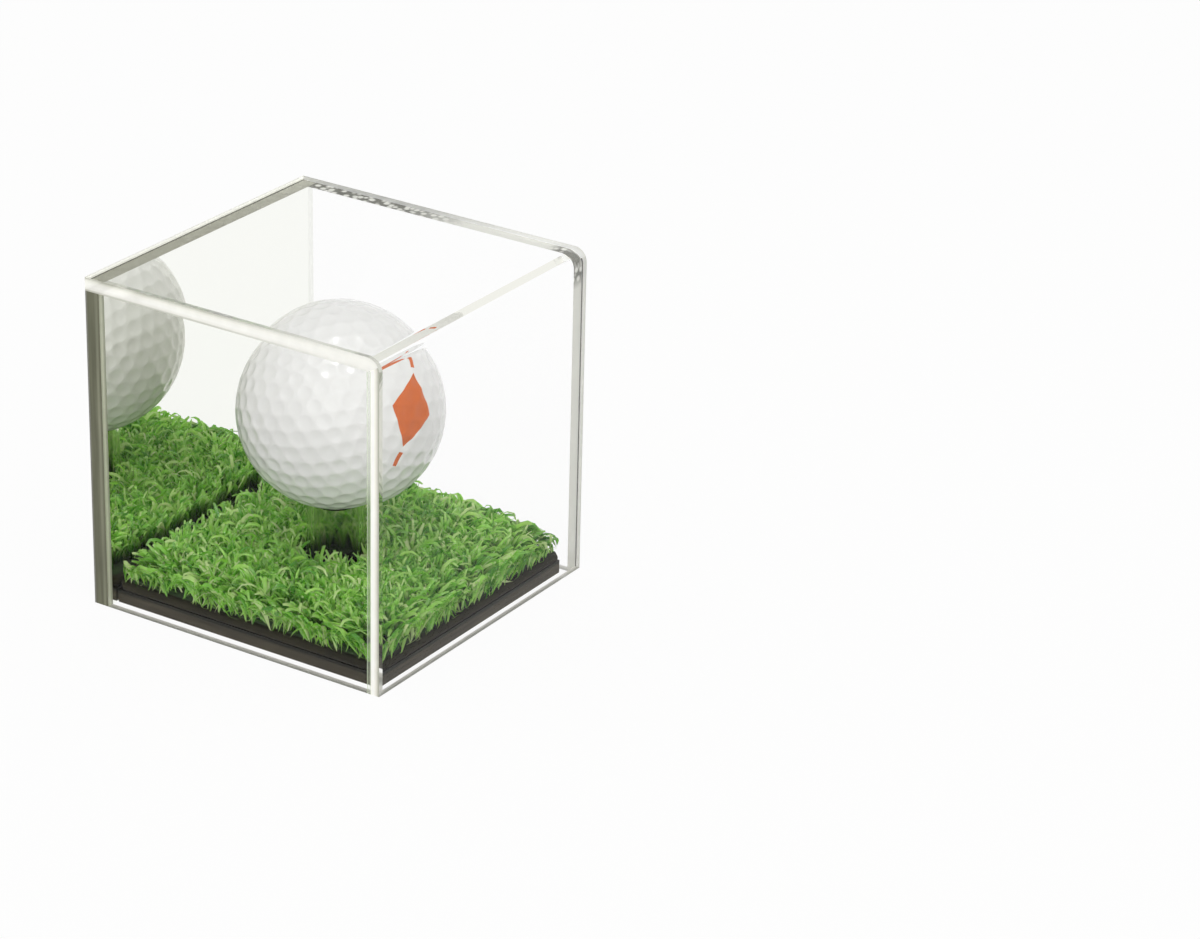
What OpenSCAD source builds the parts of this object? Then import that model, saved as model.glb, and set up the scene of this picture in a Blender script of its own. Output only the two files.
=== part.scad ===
// Display case for one golf ball: a clear cover with a mirrored back wall drops over
// a black base that carries a square of artificial grass and a tube stand.
// The origin is on the underside, at the middle of the case. The bent front faces -Y,
// the mirror is at +Y, and +Z is up. All sizes are in millimetres.

/* [Cover] */
// Outside width of the cover, left to right
case_w = 75.2; // [70:0.1:90]
// Outside depth of the cover, front to back
case_d = 75.2; // [70:0.1:90]
// Outside height of the cover
case_h = 75.2; // [72:0.1:90]
// Thickness of the clear sheet
sheet_t = 3; // [2:0.1:4]
// Outer radius of the heated bend between the front and the top
bend_r = 3; // [2:0.1:6]
// Inner radius of the heated bend
inner_bend_r = 0.5; // [0.3:0.1:3]
// Thickness of the mirrored sheet
mirror_t = 3.2; // [2:0.1:4]
// Thickness of the grey coat on the mirror's back
coat_t = 0.4; // [0.2:0.1:1]

/* [Base] */
// Thickness of the black base plate
base_t = 3; // [2:0.1:6]
// Gap between the base plate and each side wall
side_gap = 1.6; // [0.5:0.1:4]
// Gap between the base plate and the front wall
front_gap = 1.1; // [0.5:0.1:4]
// Gap between the base plate and the mirror
back_gap = 0.3; // [0.3:0.1:4]

/* [Turf] */
// Thickness of the rubber mat under the grass
mat_t = 2; // [1:0.1:3]
// How far the mat's soft edge stands out past the base plate, at the sides and the front
mat_overhang = 0.3; // [0:0.1:0.4]
// Radius of the cut-out around the stand
cutout_r = 7.6; // [7.2:0.1:10]
// Width of bare mat left outside the grass
bare_edge = 3; // [2:0.1:5]
// Height of the grass above the mat
pile_h = 8; // [4:0.1:10]
// Thickness of the woven backing that the blades stand on
weave_t = 0.6; // [0.4:0.1:1]
// Number of blades along each side of the square
blade_rows = 21; // [17:2:21]
// Radius of a blade at its foot
blade_r = 0.5; // [0.3:0.05:0.55]
// How far the outermost blades lean outwards
blade_splay = 1.8; // [0:0.1:2]

/* [Stand] */
// Outer diameter of the clear tube
stand_od = 12.7; // [11:0.1:14]
// Bore of the clear tube
stand_id = 9.5; // [8:0.1:10]
// Height of the tube above the base plate
stand_h = 18.3; // [15:0.1:20]

/* [Ball] */
// Outside diameter of the ball
ball_d = 42.67; // [42:0.01:43]
// Thickness of the ball's cover
cover_t = 1.8; // [1:0.1:3]
// Depth of a dimple below its rim
dimple_depth = 0.16; // [0.1:0.01:0.3]
// Least width of the land between two dimples
dimple_land = 0.3; // [0.2:0.05:0.6]
// Steps between two corners of the dimple pattern, along its first direction
steps_along = 6; // [4:1:6]
// Steps between two corners of the dimple pattern, along its second direction
steps_aside = 1; // [0:1:2]
// Air left between the ball and the tube's rim
seat_gap = 0.03; // [0.01:0.01:0.1]

/* [Hidden] */

// The cover's inside faces
inner_left = -case_w / 2 + sheet_t;
inner_front = -case_d / 2 + sheet_t;
inner_back = case_d / 2 - mirror_t - coat_t;
inner_top = case_h - sheet_t;

// The base plate stands free of the cover on all four sides.
base_w = 2 * (-inner_left - side_gap);
base_front = inner_front + front_gap;
base_back = inner_back - back_gap;

// Heights of what is stacked on the base
mat_z = base_t;
pile_z = mat_z + mat_t;
mat_w = base_w + 2 * mat_overhang;
mat_front = base_front - mat_overhang;
mat_d = base_back - mat_front;
mat_y = (base_back + mat_front) / 2;

// The ball rests on the inner edge of the tube's rim.
ball_r = ball_d / 2;
core_r = ball_r - cover_t;
rim_z = base_t + stand_h;
ball_z = rim_z + sqrt((ball_r + seat_gap) * (ball_r + seat_gap) - stand_id * stand_id / 4);
round_fn = 96;
sliver = 0.01;
// How far a cutter runs past the face that it cuts
run_past = 1;

function unit(v) = v / norm(v);

// Corner of a side wall's outline, rounded to fit inside the bend.
// The outline is drawn flat, with depth along X and height along Y.
module bent_outline(front, back, top, radius) {
    translate([front + radius, 0])
    square([back - front - radius, top]);
    translate([front, 0])
    square([radius + sliver, top - radius]);
    translate([front + radius, top - radius])
    circle(r = radius, $fn = round_fn);
}

// Stands an outline up and gives it a width along X.
module across(left, width) {
    translate([left, 0, 0])
    rotate([90, 0, 90])
    linear_extrude(height = width)
    children();
}

// One sheet, bent by heat, is both the front wall and the top.
module front_top_panel() {
    color([0.93, 0.95, 0.93, 0.35])
    across(-case_w / 2, case_w)
    difference() {
        bent_outline(-case_d / 2, case_d / 2, case_h, bend_r);
        translate([0, -run_past])
        bent_outline(inner_front, case_d / 2 + run_past, inner_top + run_past, inner_bend_r);
    }
}

// A side wall fits inside the bent sheet and ends against the mirror.
module side_panel(left) {
    color([0.93, 0.95, 0.93, 0.35])
    across(left, sheet_t)
    bent_outline(inner_front, inner_back, inner_top, inner_bend_r);
}

module left_side_panel() {
    side_panel(-case_w / 2);
}

module right_side_panel() {
    side_panel(case_w / 2 - sheet_t);
}

module mirror_panel() {
    color([0.78, 0.8, 0.8])
    translate([-case_w / 2, inner_back, 0])
    cube([case_w, mirror_t, inner_top]);
}

module mirror_backing() {
    color([0.42, 0.43, 0.4])
    translate([-case_w / 2, inner_back + mirror_t, 0])
    cube([case_w, coat_t, inner_top]);
}

module base_plate() {
    color([0.09, 0.09, 0.08])
    translate([-base_w / 2, base_front, 0])
    cube([base_w, base_back - base_front, base_t]);
}

// A rubber mat whose cut edges have gone round, with a hole for the stand.
module turf_backing() {
    edge_r = mat_t / 2;
    color([0.13, 0.12, 0.1])
    difference() {
        hull()
        for (x = [-1, 1])
            for (y = [-1, 1])
                translate([x * (mat_w / 2 - edge_r), mat_y + y * (mat_d / 2 - edge_r), mat_z + edge_r])
                sphere(r = edge_r, $fn = 24);
        translate([0, 0, mat_z - run_past])
        cylinder(r = cutout_r, h = mat_t + 2 * run_past, $fn = round_fn);
    }
}

// The grass is one surface. The woven backing is a grid of cells, and each cell has one
// three-sided blade in its middle. Cells around the stand are left out, and the corners
// next to them are drawn onto the circle of the cut-out.
pile_w = mat_w - 2 * bare_edge;
pile_d = mat_d - 2 * bare_edge;
cell_w = pile_w / blade_rows;
cell_d = pile_d / blade_rows;
corner_rows = blade_rows + 1;
weave_top = pile_z + weave_t;
blade_count = blade_rows * blade_rows;

// Each blade strays a little from its cell's middle, turns, leans and ends at its own height.
foot_play = 0.35;
turn_play = 20;
tip_play = 0.45;
drop_play = 1.4;
foot_shift_x = rands(-foot_play, foot_play, blade_count, 11);
foot_shift_y = rands(-foot_play, foot_play, blade_count, 12);
foot_turn = rands(-turn_play, turn_play, blade_count, 13);
tip_shift_x = rands(-tip_play, tip_play, blade_count, 14);
tip_shift_y = rands(-tip_play, tip_play, blade_count, 15);
tip_drop = rands(0, drop_play, blade_count, 16);

// A blade bends where it has reached knee_height of its height. There it is knee_width of its
// foot's width, and has gone knee_lean of the way that it leans.
knee_height = 0.55;
knee_width = 0.75;
knee_lean = 0.3;

// The slow wave in the way that neighbouring blades lean: its size, and degrees per millimetre
wave_size = 0.5;
wave_across = 9;
wave_along = 8;
wave_start = 40;

// A cell stays if its middle is this far outside the cut-out.
least_margin = 0.15 * cell_w;
function cell_middle(i, j) = [-pile_w / 2 + (i + 0.5) * cell_w, mat_y - pile_d / 2 + (j + 0.5) * cell_d];
function is_kept(i, j) =
    i >= 0 && j >= 0 && i < blade_rows && j < blade_rows
    && norm(cell_middle(i, j)) > cutout_r + least_margin;
function is_loose(i, j) =
    !(is_kept(i, j) && is_kept(i - 1, j) && is_kept(i, j - 1) && is_kept(i - 1, j - 1));
function plain_corner(i, j) = [-pile_w / 2 + i * cell_w, mat_y - pile_d / 2 + j * cell_d];
function grid_corner(i, j) =
    let (p = plain_corner(i, j), is_near = norm(p) < 2 * cutout_r)
    is_near && is_loose(i, j) && norm(p) > 0 ? p * cutout_r / norm(p) : p;

// A blade leans with its neighbours along the wave, and outwards near the edges of the mat.
function lean(p) =
    let (out_x = 2 * p[0] / pile_w, out_y = 2 * (p[1] - mat_y) / pile_d)
    [blade_splay * pow(out_x, 3) + wave_size * sin(wave_across * p[1] + wave_start),
     blade_splay * pow(out_y, 3) + wave_size * sin(wave_along * p[0])];
function blade_index(i, j) = i * blade_rows + j;
function blade_foot(i, j) =
    let (n = blade_index(i, j))
    cell_middle(i, j) + [foot_shift_x[n], foot_shift_y[n]];
function blade_ring(centre, z, radius, turn) =
    [for (k = [0:2]) [centre[0] + radius * cos(turn + 120 * k), centre[1] + radius * sin(turn + 120 * k), z]];
function blade_points(i, j) =
    let (n = blade_index(i, j),
        foot = blade_foot(i, j),
        reach = lean(foot) + [tip_shift_x[n], tip_shift_y[n]],
        turn = -90 + foot_turn[n],
        height = pile_h - weave_t - tip_drop[n],
        tip = foot + reach)
    concat(
        blade_ring(foot, weave_top, blade_r, turn),
        blade_ring(foot + knee_lean * reach, weave_top + knee_height * height, knee_width * blade_r, turn),
        [[tip[0], tip[1], weave_top + height]]
    );

function top_corner(i, j) = i * corner_rows + j;
function low_corner(i, j) = corner_rows * corner_rows + top_corner(i, j);
function blade_start(i, j) = 2 * corner_rows * corner_rows + 7 * blade_index(i, j);

// Each cell's faces, counted anticlockwise from outside
function cell_faces(i, j) =
    let (c0 = top_corner(i, j),
        c1 = top_corner(i + 1, j),
        c2 = top_corner(i + 1, j + 1),
        c3 = top_corner(i, j + 1),
        l0 = low_corner(i, j),
        l1 = low_corner(i + 1, j),
        l2 = low_corner(i + 1, j + 1),
        l3 = low_corner(i, j + 1),
        s = blade_start(i, j))
    concat(
        [[c0, c1, s], [s, c1, s + 1], [c1, c2, s + 1], [c2, c3, s + 1]],
        [[s + 1, c3, s + 2], [c3, c0, s + 2], [s + 2, c0, s]],
        [for (k = [0:2]) [s + k, s + (k + 1) % 3, s + 3 + (k + 1) % 3]],
        [for (k = [0:2]) [s + k, s + 3 + (k + 1) % 3, s + 3 + k]],
        [for (k = [0:2]) [s + 3 + k, s + 3 + (k + 1) % 3, s + 6]],
        [[l0, l2, l1], [l0, l3, l2]],
        is_kept(i, j - 1) ? [] : [[l0, l1, c1], [l0, c1, c0]],
        is_kept(i + 1, j) ? [] : [[l1, l2, c2], [l1, c2, c1]],
        is_kept(i, j + 1) ? [] : [[l2, l3, c3], [l2, c3, c2]],
        is_kept(i - 1, j) ? [] : [[l3, l0, c0], [l3, c0, c3]]
    );

module turf_pile() {
    corners = [for (i = [0:blade_rows]) for (j = [0:blade_rows]) grid_corner(i, j)];
    blades = [for (i = [0:blade_rows - 1]) for (j = [0:blade_rows - 1]) each blade_points(i, j)];
    faces = [
        for (i = [0:blade_rows - 1])
        for (j = [0:blade_rows - 1])
        if (is_kept(i, j))
        each cell_faces(i, j)
    ];
    color([0.33, 0.56, 0.22])
    polyhedron(
        points = concat(
            [for (p = corners) [p[0], p[1], weave_top]],
            [for (p = corners) [p[0], p[1], pile_z]],
            blades
        ),
        faces = [for (f = faces) [f[2], f[1], f[0]]],
        convexity = 10
    );
}

module ball_stand() {
    color([0.93, 0.95, 0.93, 0.35])
    translate([0, 0, base_t])
    difference() {
        cylinder(d = stand_od, h = stand_h, $fn = round_fn);
        translate([0, 0, -run_past])
        cylinder(d = stand_id, h = stand_h + 2 * run_past, $fn = round_fn);
    }
}

// Dimples lie on the points of a triangular grid that is wrapped round the twenty
// faces of an icosahedron, so each has six neighbours except at the twelve corners.
golden = (1 + sqrt(5)) / 2;
ico_corners = [
    for (a = [-1, 1])
    for (b = [-golden, golden])
    for (v = [[0, a, b], [a, b, 0], [b, 0, a]])
    unit(v)
];
ico_edge = norm(unit([0, 1, golden]) - unit([0, -1, golden]));
ico_angle = 2 * asin(ico_edge / 2);
function is_edge(p, q) = abs(norm(p - q) - ico_edge) < 0.01;
function turned_out(p, q, r) = cross(q - p, r - p) * p > 0 ? [p, q, r] : [p, r, q];
ico_faces = [
    for (a = [0:9])
    for (b = [a + 1:10])
    for (c = [b + 1:11])
    let (p = ico_corners[a], q = ico_corners[b], r = ico_corners[c])
    if (is_edge(p, q) && is_edge(q, r) && is_edge(p, r))
    turned_out(p, q, r)
];
grid_number = steps_along * steps_along + steps_along * steps_aside + steps_aside * steps_aside;
function on_face(f, a, b, c) =
    unit(sin(a * ico_angle) * f[0] + sin(b * ico_angle) * f[1] + sin(c * ico_angle) * f[2]);
function face_points(f) = [
    for (i = [-steps_aside:steps_along])
    for (j = [0:steps_along + steps_aside])
    let (b = (i * (steps_along + steps_aside) + j * steps_aside) / grid_number,
        c = (j * steps_along - i * steps_aside) / grid_number,
        a = 1 - b - c)
    if (a > 0.001 && b > 0.001 && c > 0.001)
    on_face(f, a, b, c)
];
// A slight tilt keeps dimples off the poles of the sphere that they are cut from.
ball_tilt = [11, 7, 0];
// Where the two step counts share a factor, some points lie on the icosahedron's edges.
function common_factor(a, b) = b == 0 ? a : common_factor(b, a % b);
edge_steps = common_factor(steps_along, steps_aside);
edge_points = [
    for (a = [0:10])
    for (b = [a + 1:11])
    let (p = ico_corners[a], q = ico_corners[b])
    if (edge_steps > 1 && is_edge(p, q))
    for (m = [1:edge_steps - 1])
    on_face([p, q, p], 1 - m / edge_steps, m / edge_steps, 0)
];
dimples = concat(ico_corners, edge_points, [for (f = ico_faces) each face_points(f)]);
function nearest(p) = min([for (q = dimples) let (gap = norm(p - q)) if (gap > sliver) gap]);
function dimple_radius(p) = (nearest(p) * ball_r - dimple_land) / 2;

// A dimple is part of a large sphere. Its cutter ends just outside the dimple's rim.
module dimple_cutter(r) {
    bowl_r = (r * r + dimple_depth * dimple_depth) / (2 * dimple_depth);
    translate([0, 0, sqrt(ball_r * ball_r - r * r)])
    rotate_extrude($fn = round_fn)
    intersection() {
        translate([0, bowl_r - dimple_depth])
        circle(r = bowl_r, $fn = 2 * round_fn);
        translate([0, -2 * dimple_depth])
        square([r + 0.4 * dimple_land, 4 * dimple_depth]);
    }
}

module ball_cover() {
    color([0.93, 0.93, 0.91])
    translate([0, 0, ball_z])
    rotate(ball_tilt)
    difference() {
        sphere(r = ball_r, $fn = round_fn);
        sphere(r = core_r, $fn = round_fn);
        for (p = dimples)
            rotate([0, acos(p[2]), atan2(p[1], p[0])])
            dimple_cutter(dimple_radius(p));
    }
}

module ball_core() {
    color([0.75, 0.5, 0.3])
    translate([0, 0, ball_z])
    sphere(r = core_r, $fn = round_fn);
}

front_top_panel();
left_side_panel();
right_side_panel();
mirror_panel();
mirror_backing();
base_plate();
turf_backing();
turf_pile();
ball_stand();
ball_cover();
ball_core();
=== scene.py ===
# %% [markdown]
# # A clear display case for one golf ball
#
# The real thing is a cube of clear acrylic sheet with a mirrored back. It drops over a
# black base that carries a square of artificial grass and a short clear tube for the ball.
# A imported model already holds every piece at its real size. This lesson gives each piece
# its looks: it keeps the pieces whose shape is right, and makes finer ones for the rest.

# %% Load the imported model
import math

import bpy
import numpy as np
from mathutils import Matrix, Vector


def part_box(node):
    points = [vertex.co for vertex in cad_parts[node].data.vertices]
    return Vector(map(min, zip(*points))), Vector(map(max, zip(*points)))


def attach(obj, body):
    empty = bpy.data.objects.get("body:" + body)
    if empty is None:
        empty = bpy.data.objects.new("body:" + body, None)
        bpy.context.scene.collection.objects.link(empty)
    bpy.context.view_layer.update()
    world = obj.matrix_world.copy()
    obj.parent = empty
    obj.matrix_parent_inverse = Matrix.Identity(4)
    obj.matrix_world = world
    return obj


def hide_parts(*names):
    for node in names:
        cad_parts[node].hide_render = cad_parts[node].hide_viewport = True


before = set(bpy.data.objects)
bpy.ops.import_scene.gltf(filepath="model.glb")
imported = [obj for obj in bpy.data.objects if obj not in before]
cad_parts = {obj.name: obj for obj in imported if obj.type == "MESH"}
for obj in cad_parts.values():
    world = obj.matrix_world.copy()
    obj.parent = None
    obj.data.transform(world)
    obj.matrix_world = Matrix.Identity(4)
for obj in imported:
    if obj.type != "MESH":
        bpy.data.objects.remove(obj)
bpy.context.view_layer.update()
print("nodes:", sorted(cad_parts))

# %% [markdown]
# Everything is in metres, but the pieces are easier to think of in millimetres. So the
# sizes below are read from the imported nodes, and small ones are written as a number
# times MM. All the corners of the case come from the boxes of its nodes.

# %% Sizes from the nodes
MM = 0.001


def corners(node):
    """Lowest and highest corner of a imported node, as two arrays."""
    low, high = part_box(node)
    return np.array(low), np.array(high)


case_low, case_high = corners("front_top_panel")
side_low, side_high = corners("left_side_panel")
mirror_low, mirror_high = corners("mirror_panel")
plate_low, plate_high = corners("base_plate")
mat_low, mat_high = corners("turf_backing")
pile_low, pile_high = corners("turf_pile")
stand_low, stand_high = corners("ball_stand")
ball_low, ball_high = corners("ball_cover")
sheet_t = side_high[0] - side_low[0]
bend_r = 3 * MM
inner_bend_r = 0.5 * MM
inner_front, inner_back, inner_top = side_low[1], mirror_low[1], side_high[2]
ball_centre = (ball_low + ball_high) / 2
ball_r = (ball_high[0] - ball_low[0]) / 2
stand_r = (stand_high[0] - stand_low[0]) / 2
print("case", (case_high - case_low) / MM, "sheet", sheet_t / MM, "ball radius", ball_r / MM)

# %% [markdown]
# A few small tools do most of the work. One turns a colour as painters and web pages
# write it into the linear numbers that light needs. One adds a shader node with its
# settings and links. One puts whole arrays of points and faces into a mesh. A mesh with
# both round walls and flat rims is given a crease angle. Without it the shading of a
# round wall would lean over at its rims, and a clear wall would bend light like a lens.

# %% Colour, node and mesh tools


def colour(code):
    """sRGB hex to linear: a straight foot near black, and a power of 2.4 above it."""
    srgb = np.array([int(code[k:k + 2], 16) for k in (1, 3, 5)]) / 255
    linear = np.where(srgb <= 0.04045, srgb / 12.92, ((srgb + 0.055) / 1.055) ** 2.4)
    return (*linear.tolist(), 1.0)


def add_node(tree, kind, inputs=(), stops=None, **settings):
    """Adds a shader node of a kind, with its inputs by name, or as a list in their own order.

    An input that is given a socket is linked, and so is one that is given a node, by its first
    working output. A hex code is turned linear, and anything else is set as it is. Stops are
    the colours of a ramp by their places, of which the first is 0.
    """
    node = tree.nodes.new("ShaderNode" + kind)
    for name, value in settings.items():
        setattr(node, name, value)
    for name, value in inputs.items() if isinstance(inputs, dict) else enumerate(inputs):
        if isinstance(value, bpy.types.Node):
            value = next(output for output in value.outputs if output.enabled)
        if isinstance(value, bpy.types.NodeSocket):
            tree.links.new(value, node.inputs[name])
        else:
            node.inputs[name].default_value = colour(value) if isinstance(value, str) else value
    if stops:
        elements = node.color_ramp.elements
        elements.remove(elements[1])
        for at, code in stops.items():
            (elements.new(at) if at else elements[0]).color = colour(code)
    return node


def new_finish(name):
    """An empty material and its tree."""
    material = bpy.data.materials.new(name)
    material.use_nodes = True
    material.node_tree.nodes.clear()
    print("finish", name)
    return material, material.node_tree


def on_circle(angles):
    """Cosine and sine of each angle: points on a circle of radius 1."""
    return np.stack([np.cos(angles), np.sin(angles)], -1)


def full_circle(steps):
    """Evenly spaced angles, all the way round."""
    return np.arange(steps) * 2 * math.pi / steps


def grid_faces(rows, columns, close_rows=False, close_columns=False):
    """Four-sided faces of a grid whose point (i, j) has the number i * columns + j."""
    i = np.arange(rows if close_rows else rows - 1)[:, None]
    j = np.arange(columns if close_columns else columns - 1)[None, :]
    down = (i + 1) % rows
    along = (j + 1) % columns
    around = [i * columns + j, i * columns + along, down * columns + along, down * columns + j]
    return np.stack(np.broadcast_arrays(*around), -1).reshape(-1, 4)


def make_piece(
    name, points, faces, finishes, body, nodes=(), slot="", smooth=True, face_finish=None, crease=None,
    **attributes
):
    """Puts points and faces into a mesh, gives it its finishes and lets it ride on a body."""
    mesh = bpy.data.meshes.new(name)
    mesh.from_pydata(np.asarray(points).tolist(), [], [list(map(int, f)) for f in faces])
    for finish in finishes:
        mesh.materials.append(finish)
    mesh.polygons.foreach_set("use_smooth", np.full(len(faces), smooth))
    if face_finish is not None:
        mesh.polygons.foreach_set("material_index", np.asarray(face_finish, dtype=np.int32))
    for attribute, values in attributes.items():
        layer = mesh.attributes.new(attribute, "FLOAT", "POINT")
        layer.data.foreach_set("value", np.asarray(values, dtype=np.float32).ravel())
    mesh.update()
    if crease is not None:
        mesh.set_sharp_from_angle(angle=math.radians(crease))
    piece = bpy.data.objects.new(name, mesh)
    bpy.context.scene.collection.objects.link(piece)
    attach(piece, body)
    if nodes:
        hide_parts(*nodes)
    print(name, len(points), "points", len(faces), "faces")


# %% [markdown]
# The camera stands to the left of the case, a little above it, and looks past it to the
# right, with a long lens. Its place was worked out from the corners of the case in the
# photograph. Here it is given by its place and three angles: how far it is turned round
# the upright axis, how far it looks down, and how far it is rolled.

# %% The camera
camera_place = np.array([-625.8, -463.3, 382.9]) * MM
photo_width = 1200
focal_pixels = 3976.7
sensor_width = 36.0


def three_ways(turned, raised, rolled):
    """Out, along and across: three directions square to each other, for angles in degrees.

    Out is -Y turned about the upright and raised. The other two are rolled about it.
    """
    turned, raised, rolled = math.radians(turned), math.radians(raised), math.radians(rolled)
    out = np.array([
        math.sin(turned) * math.cos(raised), -math.cos(turned) * math.cos(raised), math.sin(raised),
    ])
    side = np.array([math.cos(turned), math.sin(turned), 0.0])
    up = np.cross(out, side)
    along = math.cos(rolled) * side + math.sin(rolled) * up
    return out, along, math.cos(rolled) * up - math.sin(rolled) * side


def put_at(thing, own_x, own_y, own_z, place):
    """Puts a camera or lamp at a place, with its own axes along three directions."""
    turn = np.eye(4)
    turn[:3] = np.stack([own_x, own_y, own_z, place], 1)
    thing.matrix_world = Matrix(turn.tolist())
    bpy.context.scene.collection.objects.link(thing)


lens_data = bpy.data.cameras.new("camera")
lens_data.sensor_width = sensor_width
lens_data.lens = sensor_width * focal_pixels / photo_width
lens_data.clip_start = 0.05
camera = bpy.data.objects.new("camera", lens_data)
camera_back, camera_right, camera_up = three_ways(-57.60, 24.49, 1.48)
put_at(camera, camera_right, camera_up, camera_back, camera_place)
bpy.context.scene.camera = camera
print("lens", round(lens_data.lens, 1), "mm")

# %% [markdown]
# ## The ball
#
# A golf ball is a white moulded cover over a rubber core, painted and lacquered. Its 432
# dimples lie on a triangular grid wrapped round the twenty faces of an icosahedron. The
# ball could be a plain sphere with a bump map, but its outline would stay round and the
# rims would look soft. So the dimples are real: each point of a fine sphere is moved in
# to the bowl of its nearest dimple, if it lies inside one.

# %% The twenty faces and the dimple grid
golden = (1 + math.sqrt(5)) / 2
ico_corners = np.array([
    v
    for a in (-1, 1)
    for b in (-golden, golden)
    for v in ((0, a, b), (a, b, 0), (b, 0, a))
])
ico_corners /= np.linalg.norm(ico_corners, axis=1)[:, None]
ico_edge = np.sort(np.linalg.norm(ico_corners[1:] - ico_corners[0], axis=1))[0]
ico_angle = 2 * math.asin(ico_edge / 2)


def ico_faces():
    """Every three corners that are one edge apart, turned so that they run anticlockwise."""
    apart = np.linalg.norm(ico_corners[:, None] - ico_corners[None], axis=2)
    joined = np.abs(apart - ico_edge) < 0.01
    a, b, c = np.nonzero(joined[:, :, None] & joined[:, None, :] & joined[None])
    first = (a < b) & (b < c)
    p, q, r = ico_corners[a[first]], ico_corners[b[first]], ico_corners[c[first]]
    outward = np.sum(np.cross(q - p, r - p) * p, axis=1) > 0
    q, r = np.where(outward[:, None], q, r), np.where(outward[:, None], r, q)
    return np.stack([p, q, r], 1)


def on_faces(a, b, c):
    """Points at shares a, b, c of each face's corners, each share weighed by its sine."""
    weights = np.sin(np.stack([a, b, c], -1) * ico_angle)
    points = np.einsum("nk,fkx->fnx", weights, ico_faces())
    return points / np.linalg.norm(points, axis=2)[..., None]


steps_along, steps_aside = 6, 1
grid_number = steps_along ** 2 + steps_along * steps_aside + steps_aside ** 2
i, j = np.meshgrid(np.arange(-steps_aside, steps_along + 1), np.arange(steps_along + steps_aside + 1))
share_b = (i * (steps_along + steps_aside) + j * steps_aside) / grid_number
share_c = (j * steps_along - i * steps_aside) / grid_number
share_a = 1 - share_b - share_c
inside = (share_a > 0.001) & (share_b > 0.001) & (share_c > 0.001)
face_dimples = on_faces(share_a[inside], share_b[inside], share_c[inside]).reshape(-1, 3)
dimples = np.concatenate([ico_corners, face_dimples])
closeness = dimples @ dimples.T - 2 * np.eye(len(dimples))
nearest_gap = np.sqrt(2 - 2 * closeness.max(1))
dimple_land = 0.3 * MM
dimple_depth = 0.19 * MM
dimple_radii = (nearest_gap * ball_r - dimple_land) / 2
print(len(dimples), "dimples, radius", dimple_radii.min() / MM, "to", dimple_radii.max() / MM)

# %% [markdown]
# The bowl of a dimple is part of a large sphere. For a direction from the ball's centre,
# the bowl's distance is the nearer crossing of a line with that sphere, and the surface
# is the smaller of this and the ball's own radius. A soft minimum rounds the rim, as the
# paint does on the real ball. The dimples are turned about X, then about Y, as the
# packed ball is.

# %% The dimpled surface
rim_softness = 0.012 * MM
x, y = math.radians(11), math.radians(7)
about_x = np.array([[1, 0, 0], [0, math.cos(x), -math.sin(x)], [0, math.sin(x), math.cos(x)]])
about_y = np.array([[math.cos(y), 0, math.sin(y)], [0, 1, 0], [-math.sin(y), 0, math.cos(y)]])
tilted_dimples = dimples @ (about_y @ about_x).T
lots = 40
edge_steps = 88


def surface_radius(directions):
    """Distance of the ball's surface from its centre, for unit directions, worked out in lots."""
    parts = np.array_split(directions, lots)
    nearest = np.concatenate([np.argmax(part @ tilted_dimples.T, axis=1) for part in parts])
    r = dimple_radii[nearest]
    bowl_r = (r ** 2 + dimple_depth ** 2) / (2 * dimple_depth)
    away = np.sqrt(ball_r ** 2 - r ** 2) - dimple_depth + bowl_r
    lean = np.sum(directions * tilted_dimples[nearest], axis=1) * away
    crossing = lean ** 2 - away ** 2 + bowl_r ** 2
    bowl = np.where(crossing > 0, lean - np.sqrt(np.maximum(crossing, 0)), 2 * ball_r)
    gap = np.clip((bowl - ball_r) / rim_softness, -40, 40)
    return ball_r - rim_softness * np.log1p(np.exp(-gap))


def fine_sphere(steps):
    """Directions and triangles of an icosahedron whose edges are cut into steps."""
    b, c = np.meshgrid(np.arange(steps + 1), np.arange(steps + 1), indexing="ij")
    keep = b + c <= steps
    number = np.full(keep.shape, -1)
    number[keep] = np.arange(keep.sum())
    points = on_faces(1 - (b + c)[keep] / steps, b[keep] / steps, c[keep] / steps)
    upright = keep[:-1, :-1] & (b + c < steps)[:-1, :-1]
    down = (b + c < steps - 1)[:-1, :-1]
    here, next_b, next_c, far = number[:-1, :-1], number[1:, :-1], number[:-1, 1:], number[1:, 1:]
    first = np.stack([here[upright], next_b[upright], next_c[upright]], -1)
    second = np.stack([next_b[down], far[down], next_c[down]], -1)
    one_face = np.concatenate([first, second])
    per_face = points.shape[1]
    triangles = np.concatenate([one_face + k * per_face for k in range(len(points))])
    flat, back_to = np.unique(points.reshape(-1, 3).round(7), axis=0, return_inverse=True)
    return flat / np.linalg.norm(flat, axis=1)[:, None], back_to.ravel()[triangles]


directions, ball_triangles = fine_sphere(edge_steps)
ball_points = ball_centre + directions * surface_radius(directions)[:, None]
print("ball", len(ball_points), "points,", 2 * ball_r / MM, "mm across")

# %% [markdown]
# The cover is moulded ionomer under white paint and a clear lacquer. The paint is a soft
# white, the lacquer gives the small bright highlights, and a very fine orange peel keeps
# the reflections from being too sharp.

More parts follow.
